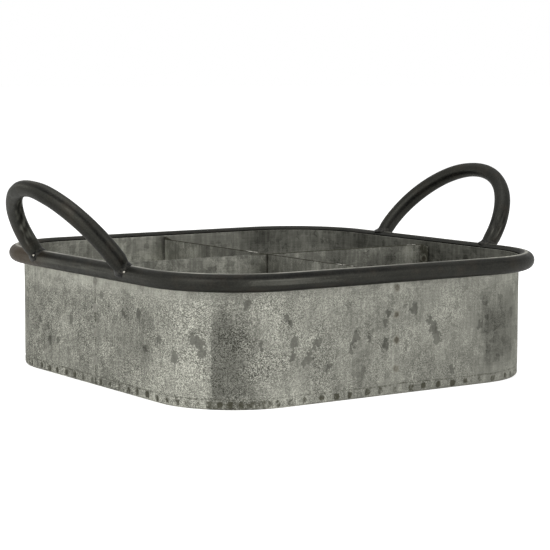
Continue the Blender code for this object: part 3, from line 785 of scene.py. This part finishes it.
def side_band(material):
    """The wall strip with its hem, crimps, hem line and the slight waves of thin sheet."""
    left, down, right = math.pi, math.pi * 3 / 2, math.pi * 2
    inner = HEM_WIDTH - SHEET
    section = [(EDGE_ROUND, WALL_TOP), (0, WALL_TOP - EDGE_ROUND)]
    heights = rows(WALL_TOP - EDGE_ROUND, HEM_ROWS_TOP, WALL_ROW_STEP)
    heights += rows(HEM_ROWS_TOP, HEM_BEND, HEM_ROW_STEP)[1:-1]
    section += [(0, height) for height in heights[1:]]
    section += shifted(arc(HEM_BEND, left, down, 7), HEM_BEND, HEM_BEND)
    section += shifted(arc(LIP_BEND, down, right, 3), HEM_WIDTH - LIP_BEND, LIP_BEND)
    section += [(HEM_WIDTH, HEM_LIP), (inner, HEM_LIP), (inner, SHEET)]
    section += shifted(arc(HEM_BEND - SHEET, down, left, 4), HEM_BEND, HEM_BEND)
    heights = rows(HEM_ROWS_TOP, WALL_TOP - EDGE_ROUND, 2 * WALL_ROW_STEP)
    section += [(SHEET, height) for height in heights]
    section += [(SHEET - EDGE_ROUND, WALL_TOP)]
    length = ROUND_TRIP - GAP
    bm = drawn_strip(section, length, COLUMN_STEP)
    bmesh.ops.holes_fill(bm, edges=[edge for edge in bm.edges if edge.is_boundary], sides=0)
    crimps = all_crimps()
    centres = [dent[0] for dent in crimps]
    sheet = bm.verts.layers.float_vector.new("sheet")
    grime = bm.verts.layers.float.new("grime")
    for vert in bm.verts:
        along, inwards, up = vert.co
        vert[sheet] = vert.co / MM
        outside = inwards < SHEET * 0.7 or up < HEM_BEND * 0.7 and inwards < HEM_BEND
        if outside and up < HEM_ROWS_TOP:
            following = bisect.bisect(centres, along) % len(crimps)
            dent = 0
            filled = 0
            for centre, size, lift, fill in (crimps[following - 1], crimps[following]):
                across = (along - centre + ROUND_TRIP / 2) % ROUND_TRIP - ROUND_TRIP / 2
                wide = abs(across) / (CRIMP_HALF_WIDTH * size)
                tall = abs(up - CRIMP_MIDDLE - lift) / CRIMP_HALF_HEIGHT
                round_edge = (wide**3 + tall**3) ** (1 / 3)
                this_dent = plateau(round_edge, 1, 0.9)
                if this_dent > dent:
                    dent = this_dent
                    filled = fill
            wobble = waver(along / (20 * MM), 0, 3.3)
            line = plateau(up - HEM_LINE - 0.5 * MM * wobble, HEM_LINE_WIDTH, 0.9)
            vert.co.y += CRIMP_DEPTH * dent + HEM_LINE_DEPTH * line
            soot = plateau(along - SOOT_MIDDLE, SOOT_HALF_WIDTH, 0.4) * plateau(up, SOOT_TOP, 0.3)
            soot *= 0.45 + 0.30 * abs(waver(along / (5 * MM), 0, 8.8))
            in_dent = filled * dent + 0.25 * soot * dent
            on_hem = HEM_DIRT * (up < HEM_DIRT_TOP)
            vert[grime] = max(in_dent, HEM_LINE_DIRT * line, soot, on_hem)
        from_end = min(along, length - along)
        if outside and from_end < 1.5 * COLUMN_STEP:
            seam = 1.0 if up > SEAM_NOTCH else 0.62 + 0.5 * waver(0, up / (6 * MM), 4.4)
            vert[grime] = max(vert[grime], seam if from_end < 0.5 * COLUMN_STEP else 0.6 * seam)
        vert.co.y += OIL_CAN * sheet_wave(along, up)
    roll_up(bm)
    add_piece("wall_sheet", bm, material, "side_band")


def between(stops, value):
    """The height at a value on a line through (value, height) stops, eased at each stop."""
    before = stops[0]
    for after in stops[1:]:
        if value < after[0]:
            break
        before = after
    else:
        return before[1]
    share = min(max((value - before[0]) / (after[0] - before[0]), 0), 1)
    share = share * share * (3 - 2 * share)
    return before[1] + (after[1] - before[1]) * share


def rim_tube(material):
    """The slit tube round the top edge, very slightly uneven, with a painted highlight along its top
    and painted light and shade round its outer face.
    """
    lip = math.asin(RIM_SLIT / 2 / RIM_RADIUS)
    full = 2 * math.pi - lip
    outer = arc(RIM_RADIUS, lip, full, 44)
    inner = arc(RIM_RADIUS - RIM_WALL, full, lip, 8)
    bm = drawn_strip(shifted(outer + inner, -RIM_OFFSET, RIM_MIDDLE), ROUND_TRIP, RIM_STEP)
    tube = bm.verts.layers.float_vector.new("tube")
    painted_light_and_tone = bm.verts.layers.float.new("painted_light_and_tone")
    painted_highlight = bm.verts.layers.float.new("painted_highlight")
    rust = bm.verts.layers.float.new("rust")
    for vert in bm.verts:
        along, inwards, up = vert.co
        vert[tube] = vert.co / MM
        rise = up - RIM_MIDDLE
        out = -inwards - RIM_OFFSET
        # Distance in mm from the seam, negative past it towards +Y
        seam = (along if along < ROUND_TRIP * PAST_SEAM else along - ROUND_TRIP) / MM
        # A painted highlight line along the tube's top
        highlight_line = plateau(-out - HIGHLIGHT_MIDDLE, HIGHLIGHT_HALF_WIDTH, 0.9) * (rise > 0)
        vert[painted_highlight] = highlight_line * (0.72 + 0.5 * waver(along / (24 * MM), 0, 5.5))
        # Painted highlight on the outer flank, painted shade over it and under the tube, and painted
        # shade on the face towards the compartments
        flank_highlight = plateau(rise - FLANK_MIDDLE, FLANK_HALF_WIDTH, 1.1) * (out > 0)
        shade = plateau(rise - SHADE_MIDDLE, SHADE_HALF_WIDTH, 0.9) * (out > 0)
        under = min(max((UNDERSIDE_TOP - rise) / UNDERSIDE_FADE, 0), 1)
        pale = between(RIM_FLANK, seam)
        depth = 0.5 + 0.5 * plateau(seam - RIM_DEEP[0], RIM_DEEP[1], 0.8)
        vert[painted_light_and_tone] = pale * flank_highlight - depth * SHADE_TONE * shade - UNDERSIDE_TONE * under
        if out < -0.5 * MM:
            vert[painted_light_and_tone] -= INNER_TONE
        # Brown rust round the tube where it turns the far left corner
        vert[rust] = 0.55 * plateau(seam - RIM_RUST[0], RIM_RUST[1], 1.2)
        swell = waver(along / (35 * MM), inwards / (9 * MM), up / (9 * MM))
        vert.co.z += RIM_UNEVEN * swell
    roll_up(bm)
    bmesh.ops.remove_doubles(bm, verts=bm.verts, dist=0.001 * MM)
    add_piece("rim", bm, material, "rim_tube")


def handle_frames(shape):
    """Matrices along a handle's middle line, +Z along the tube and +X out of the arch."""
    foot_lean, crown_lean = shape.leans
    foot = Vector((shape.half_span, 0, 0))
    first = foot + LEG_PULL * Vector((math.sin(LEG_SPLAY), math.cos(LEG_SPLAY), 0))
    crown = Vector((0, shape.reach, 0))
    second = crown + Vector((shape.crown_pull, 0, 0))
    leg = interpolate_bezier(foot, first, second, crown, LEG_POINTS)
    flat = [(-point.x, point.y) for point in leg] + [(point.x, point.y) for point in leg[-2::-1]]
    curl = (crown_lean - foot_lean) / shape.reach
    points = []
    for along, up in flat:
        lean = foot_lean + curl * up
        half_turn = (lean - foot_lean) / 2
        chord = up * math.sin(half_turn) / half_turn if half_turn else up
        out = chord * math.sin(foot_lean + half_turn)
        rise = chord * math.cos(foot_lean + half_turn)
        x = shape.side * (HALF_SIDE + RIM_OFFSET + out)
        points.append((Vector((x, shape.shift + along, RIM_MIDDLE + rise)), lean))
    frames = []
    for number, (point, lean) in enumerate(points):
        before = points[max(number - 1, 0)][0]
        after = points[min(number + 1, len(points) - 1)][0]
        tangent = (after - before).normalized()
        face = Vector((shape.side * math.cos(lean), 0, -math.sin(lean)))
        face = (face - face.dot(tangent) * tangent).normalized()
        turn = Matrix((face, tangent.cross(face), tangent)).transposed().to_4x4()
        frames.append(Matrix.Translation(point) @ turn)
    return frames


def run_length(frames):
    """Length of the middle line through all the frames."""
    middles = [place.translation for place in frames]
    return sum((after - before).length for before, after in zip(middles, middles[1:]))


def handle(name, shape, frames, material, node):
    """A bent tube whose ends sit inside the rim's outline, with creases from its bending."""
    bm = bmesh.new()
    tube = bm.verts.layers.float_vector.new("tube")
    painted_light_and_tone = bm.verts.layers.float.new("painted_light_and_tone")
    rings = []
    length = run_length(frames)
    along = 0
    for number, place in enumerate(frames):
        if number:
            along += (place.translation - frames[number - 1].translation).length
        made = bmesh.ops.create_circle(bm, cap_ends=False, segments=TUBE_SIDES, radius=HANDLE_RADIUS)
        wander = CREASE_WANDER * waver(along / (30 * MM), 0, 9.1)
        share = along / length
        full = between(shape.fullness, share)
        tone_shift = between(shape.tone_shifts, share)
        inside = min(share - shape.pale_stretch[0], shape.pale_stretch[1] - share)
        in_pale_stretch = min(max(inside / PALE_STRETCH_FADE, 0), 1)
        for vert in made["verts"]:
            around = vert.co.copy()
            vert[tube] = Vector((along, around.x, around.y)) / MM
            swell = waver(along / (22 * MM), around.x / (7 * MM), around.y / (7 * MM))
            crease = 0
            shoulder = 0
            for middle, last in shape.creases:
                off = math.sin((math.atan2(around.y, around.x) - middle - wander) / 2)
                there = plateau(share, last, 0.15)
                crease = max(crease, there * plateau(off, CREASE_HALF_ANGLE, 1.4))
                shoulder = max(shoulder, there * plateau(off, 3.5 * CREASE_HALF_ANGLE, 0.8))
            # Painted shade darkens each crease and painted highlights lighten its shoulders, on top
            # of the tone shift along the handle
            vert[painted_light_and_tone] = tone_shift + SHOULDER_TONE * max(shoulder - crease, 0) - CREASE_TONE * crease
            # A paler, speckled stretch on the inside of the leg
            if around.x + around.y < 0:
                turned = math.atan2(around.y, around.x) * HANDLE_RADIUS
                speckle = waver(along / (8 * MM), turned / (1.6 * MM), 2.2)
                vert[painted_light_and_tone] += in_pale_stretch * (PALE_STRETCH_TONE + PALE_STRETCH_SPECKLE * speckle)
            reach = HANDLE_RADIUS * full + HANDLE_UNEVEN * swell - CREASE_DEPTH * crease
            vert.co = place @ (around * reach / HANDLE_RADIUS)
        rings.append(made["verts"])
    skin(bm, rings)
    add_piece(name, bm, material, node)


def weld_bead(name, shape, frames, end, material, node):
    """A lumpy fillet of weld, drawn out from one leg onto the rim.

    End 0 is the front foot, where the frames start, and end 1 is the back foot. Rings
    round the leg widen with a hollow flare as they near the rim. Where the shape gives a
    place for it, one drop of metal with a painted glint sits on the rim.
    """
    away = (-1, 1)[end]       # along Y, from the arch's middle to this foot
    if end == 1:
        frames = frames[::-1]
    bm = bmesh.new()
    painted_highlight = bm.verts.layers.float.new("painted_highlight")
    axis = frames[0].translation
    step = (frames[1].translation - axis).length
    length = run_length(frames)
    rings = []
    top = RIM_RADIUS + 1.6 * BEAD_RISE
    for travelled in rows(RIM_RADIUS * 0.4, top, BEAD_STEP):
        number = int(travelled / step)
        place = frames[number].lerp(frames[number + 1], travelled / step - number)
        share = abs(end - travelled / length)
        leg = HANDLE_RADIUS * between(shape.fullness, share)
        made = bmesh.ops.create_circle(bm, cap_ends=False, segments=TUBE_SIDES, radius=leg,
                                       matrix=place)
        for vert in made["verts"]:
            out = vert.co - place.translation
            lean = min(max(away * out.y / leg, -1), 1)
            reach = shape.spreads[end] if lean > 0 else BEAD_INSIDE
            width = BEAD_ACROSS + (reach - BEAD_ACROSS) * lean * lean
            height = math.hypot(vert.co.x - axis.x, vert.co.z - axis.z) - RIM_RADIUS
            flare = min(max(1 - height / BEAD_RISE, 0), 1) ** BEAD_HOLLOW
            lump = waver(*(vert.co / BEAD_LUMP_SIZE)) + 0.5
            grown = width * flare + BEAD_LUMP * lump * flare**0.5
            tuck = BEAD_TUCK * min(max(height / BEAD_RISE, 0), 1)
            vert.co = place.translation + out * (1 + (grown - tuck) / leg)
        rings.append(made["verts"])
    skin(bm, rings)
    if shape.drops[end]:
        # A drop of spatter, marked for a painted glint
        drop = Matrix.Translation(shape.drops[end])
        made = bmesh.ops.create_icosphere(bm, subdivisions=3, radius=DROP_RADIUS, matrix=drop)
        for vert in made["verts"]:
            vert[painted_highlight] = 1.0
    add_piece(name, bm, material, node)


def spot_weld_places(quarter_turn):
    """Where the nuggets of one divider end stand, with +X pointing out of the wall."""
    turn = Matrix.Rotation(quarter_turn * math.pi / 2, 4, "Z")
    offset = -TAB_WIDTH / 2 if quarter_turn in (0, 1) else TAB_WIDTH / 2
    # The wall's own distance there: the left side is first, then front, right and back
    along = (2, 3, 0, 1)[quarter_turn] * (STRAIGHT + QUARTER) + offset + SEAM_Y
    places = []
    for share in WELD_HEIGHT_SHARES:
        up = share * WALL_TOP
        out = HALF_SIDE - OIL_CAN * sheet_wave(along, up)
        places.append(turn @ Matrix.Translation((out, offset, up)))
    return places


def spot_weld(name, place, soot, material, node):
    """One fused nugget: a shallow ring of squeezed metal on the wall and on the tab."""
    through = 2 * SHEET + GAP
    half = [(share * WELD_RADIUS, lift * WELD_RING) for share, lift, burn in WELD_FACE]
    section = half + [(radius, -through - height) for radius, height in reversed(half)]
    burns = [burn for share, lift, burn in WELD_FACE]
    bm = bmesh.new()
    burnt = bm.verts.layers.float.new("burn")
    verts = [bm.verts.new((height, radius, 0)) for radius, height in section]
    for vert, burn in zip(verts, burns + burns[::-1]):
        vert[burnt] = burn * soot
    edges = [bm.edges.new(pair) for pair in zip(verts, verts[1:])]
    bmesh.ops.spin(bm, geom=edges, cent=(0, 0, 0), axis=(1, 0, 0), angle=2 * math.pi, steps=24,
                   use_merge=True)
    bmesh.ops.remove_doubles(bm, verts=bm.verts, dist=0.001 * MM)
    bmesh.ops.transform(bm, matrix=place, verts=bm.verts)
    add_piece(name, bm, material, node)


def sees_background(tree):
    """1 for rays that see the backdrop itself: straight from the camera, mirrored or through."""
    seen = 0.0
    for output in ("Is Camera Ray", "Is Glossy Ray", "Is Transmission Ray"):
        ray = add(tree, "LightPath", output=output)
        seen = add(tree, "Math", {0: ray, 1: seen}, operation="MAXIMUM")
    return seen


def stage():
    """A plain pale floor, soft lamps and the photograph's camera."""
    scene = bpy.context.scene
    bm = bmesh.new()
    bmesh.ops.create_grid(bm, x_segments=1, y_segments=1, size=FLOOR_HALF_SIDE)
    mesh = bpy.data.meshes.new("floor")
    bm.to_mesh(mesh)
    bm.free()
    floor = bpy.data.objects.new("floor", mesh)
    scene.collection.objects.link(floor)
    material, tree, shader = new_material("pale_floor")
    tree.nodes.remove(shader)
    lift = add(tree, "Math", {0: sees_background(tree), 1: 0.65}, operation="MULTIPLY")
    pale = add(tree, "BsdfDiffuse", {"Color": colour("#e8e8e8")})
    glow = add(tree, "Emission", {"Color": colour("#ffffff"), "Strength": lift})
    both = add(tree, "AddShader", {0: pale, 1: glow})
    connect(tree, tree.nodes["Material Output"], {"Surface": both})
    mesh.materials.append(material)

    world = bpy.data.worlds.new("studio")
    scene.world = world
    world.use_nodes = True
    tree = world.node_tree
    level = add(tree, "MapRange", {0: sees_background(tree), 3: 0.45, 4: 1.0})
    connect(tree, tree.nodes["Background"], {"Color": (1, 1, 1, 1), "Strength": level})

    for name, place, size, power in LAMPS:
        lamp = bpy.data.lights.new(name, "AREA")
        lamp.shape = "DISK"
        lamp.size = size
        lamp.energy = power
        stand = bpy.data.objects.new(name, lamp)
        stand.location = place
        stand.rotation_euler = Vector(place).to_track_quat("Z", "Y").to_euler()
        scene.collection.objects.link(stand)

    lens = bpy.data.cameras.new("camera")
    lens.lens = CAMERA_LENS
    lens.sensor_width = 36
    camera = bpy.data.objects.new("camera", lens)
    turn = Matrix.Rotation(-CAMERA_TURN, 4, "Z") @ Matrix.Rotation(math.pi / 2 - CAMERA_DOWN, 4, "X")
    roll = Matrix.Rotation(CAMERA_ROLL, 4, "Z")
    camera.matrix_world = Matrix.Translation(CAMERA_PLACE) @ turn @ roll
    scene.collection.objects.link(camera)
    scene.camera = camera
    scene.view_settings.view_transform = "Standard"


wall_zinc = galvanised_sheet("weathered_galvanised_wall", True)
inner_zinc = galvanised_sheet("weathered_galvanised_inside", False)
steel = blackened_steel("blackened_drawn_steel")
puddle = arc_weld_metal("arc_weld_metal")
nugget = burnt_zinc("burnt_zinc")

side_band(wall_zinc)
rim_tube(steel)
for label, shape in (("left", LEFT_HANDLE), ("right", RIGHT_HANDLE)):
    arch = handle_frames(shape)
    handle(f"bent_handle_{label}", shape, arch, steel, f"handle_{label}")
    for end, foot in enumerate(("front", "back")):
        weld_bead(f"bead_{label}_{foot}", shape, arch, end, puddle, f"weld_bead_{label}_{foot}")
for quarter_turn, side in enumerate(("right", "back", "left", "front")):
    for number, place in enumerate(spot_weld_places(quarter_turn), 1):
        soot = NUGGET_SOOT[side][number - 1]
        spot_weld(f"nugget_{side}_{number}", place, soot, nugget, f"spot_weld_{side}_{number}")
for node in ("base_pan", "divider_crosswise", "divider_lengthwise"):
    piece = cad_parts[node]
    piece.data.materials.clear()
    piece.data.materials.append(inner_zinc)

stage()
